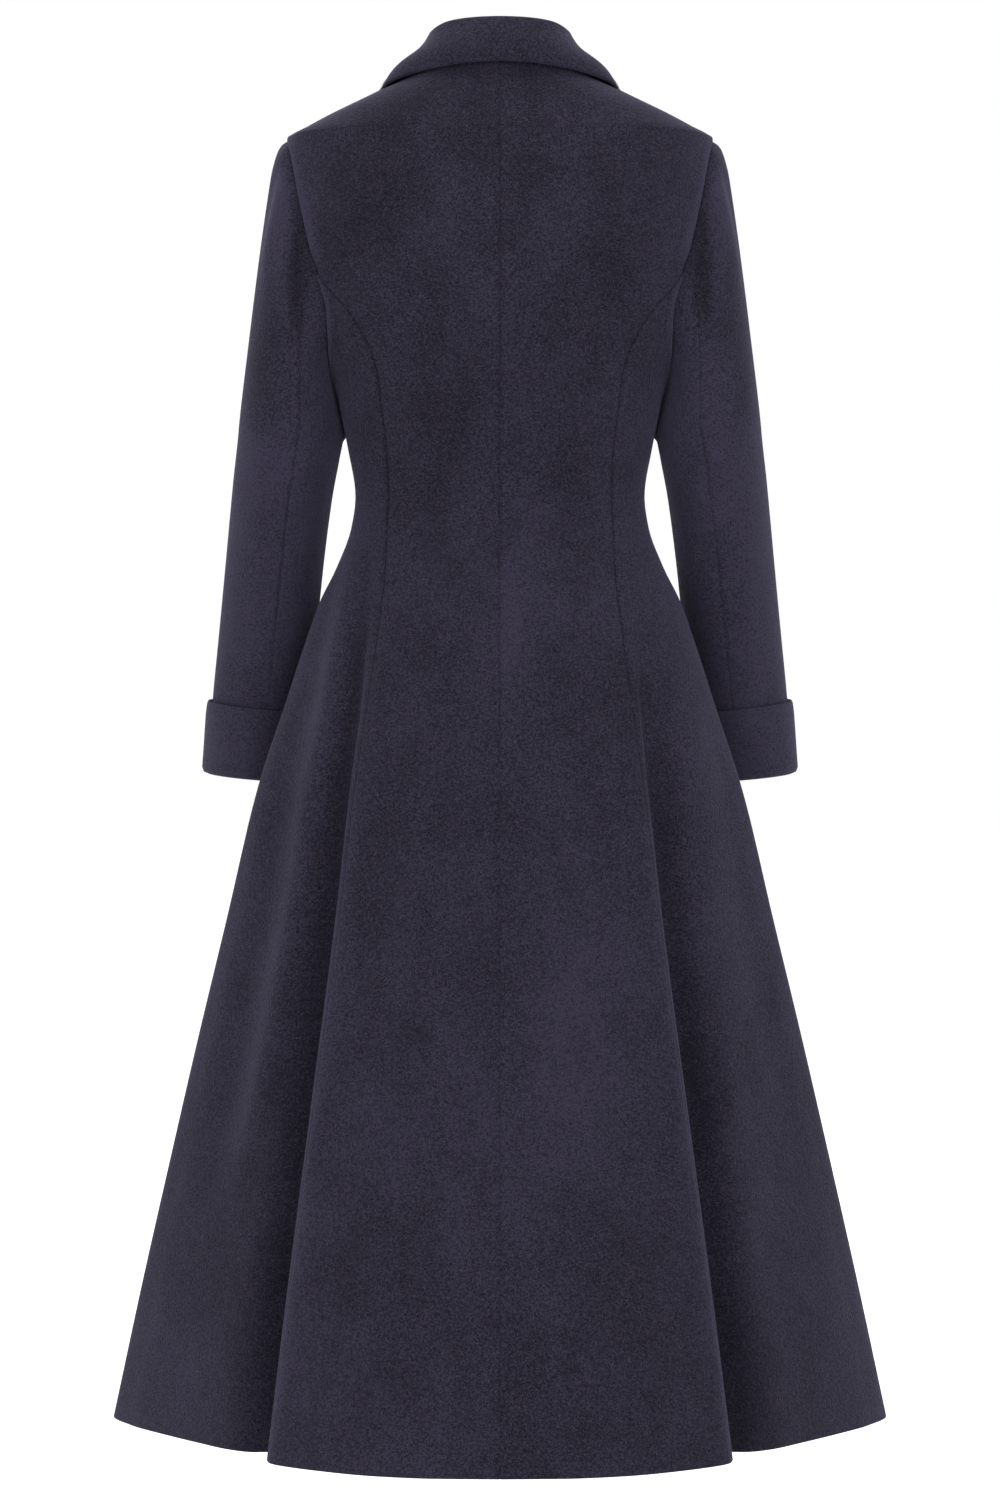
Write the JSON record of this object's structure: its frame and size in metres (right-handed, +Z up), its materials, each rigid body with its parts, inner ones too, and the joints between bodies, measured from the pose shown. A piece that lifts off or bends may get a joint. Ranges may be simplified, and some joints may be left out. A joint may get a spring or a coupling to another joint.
{
  "type": "swing coat",
  "caption": "Long fitted coat with princess seams, flared folded skirt, turned-down collar, set-in sleeves and turn-back cuffs, filled out and hollow.",
  "frame": {"origin": "midway between the two side neck points, level with them, where the wearer's shoulders hold the coat", "axes": "+Z up, the wearer faces -Y, +X towards the wearer's left arm"},
  "size_m": [0.698, 0.5192, 1.2521],
  "materials": {
    "coat_cloth": "dark navy brushed wool-type coating",
    "button_cover": "the same cloth drawn over a domed button form"
  },
  "bodies": {
    "root": {"back_left": "coat_cloth", "back_right": "coat_cloth", "back_skirt_left": "coat_cloth", "back_skirt_right": "coat_cloth", "side_back_left": "coat_cloth", "side_back_right": "coat_cloth", "side_back_skirt_left": "coat_cloth", "side_back_skirt_right": "coat_cloth", "side_front_left": "coat_cloth", "side_front_right": "coat_cloth", "side_front_skirt_left": "coat_cloth", "side_front_skirt_right": "coat_cloth", "front_left": "coat_cloth", "front_right": "coat_cloth", "front_skirt_left": "coat_cloth", "front_skirt_right": "coat_cloth", "top_sleeve_left": "coat_cloth", "top_sleeve_right": "coat_cloth", "under_sleeve_left": "coat_cloth", "under_sleeve_right": "coat_cloth", "cuff_left": "coat_cloth", "cuff_right": "coat_cloth", "collar": "coat_cloth", "button_1": "button_cover", "button_2": "button_cover", "button_3": "button_cover", "button_4": "button_cover", "button_5": "button_cover"}
  },
  "joints": []
}
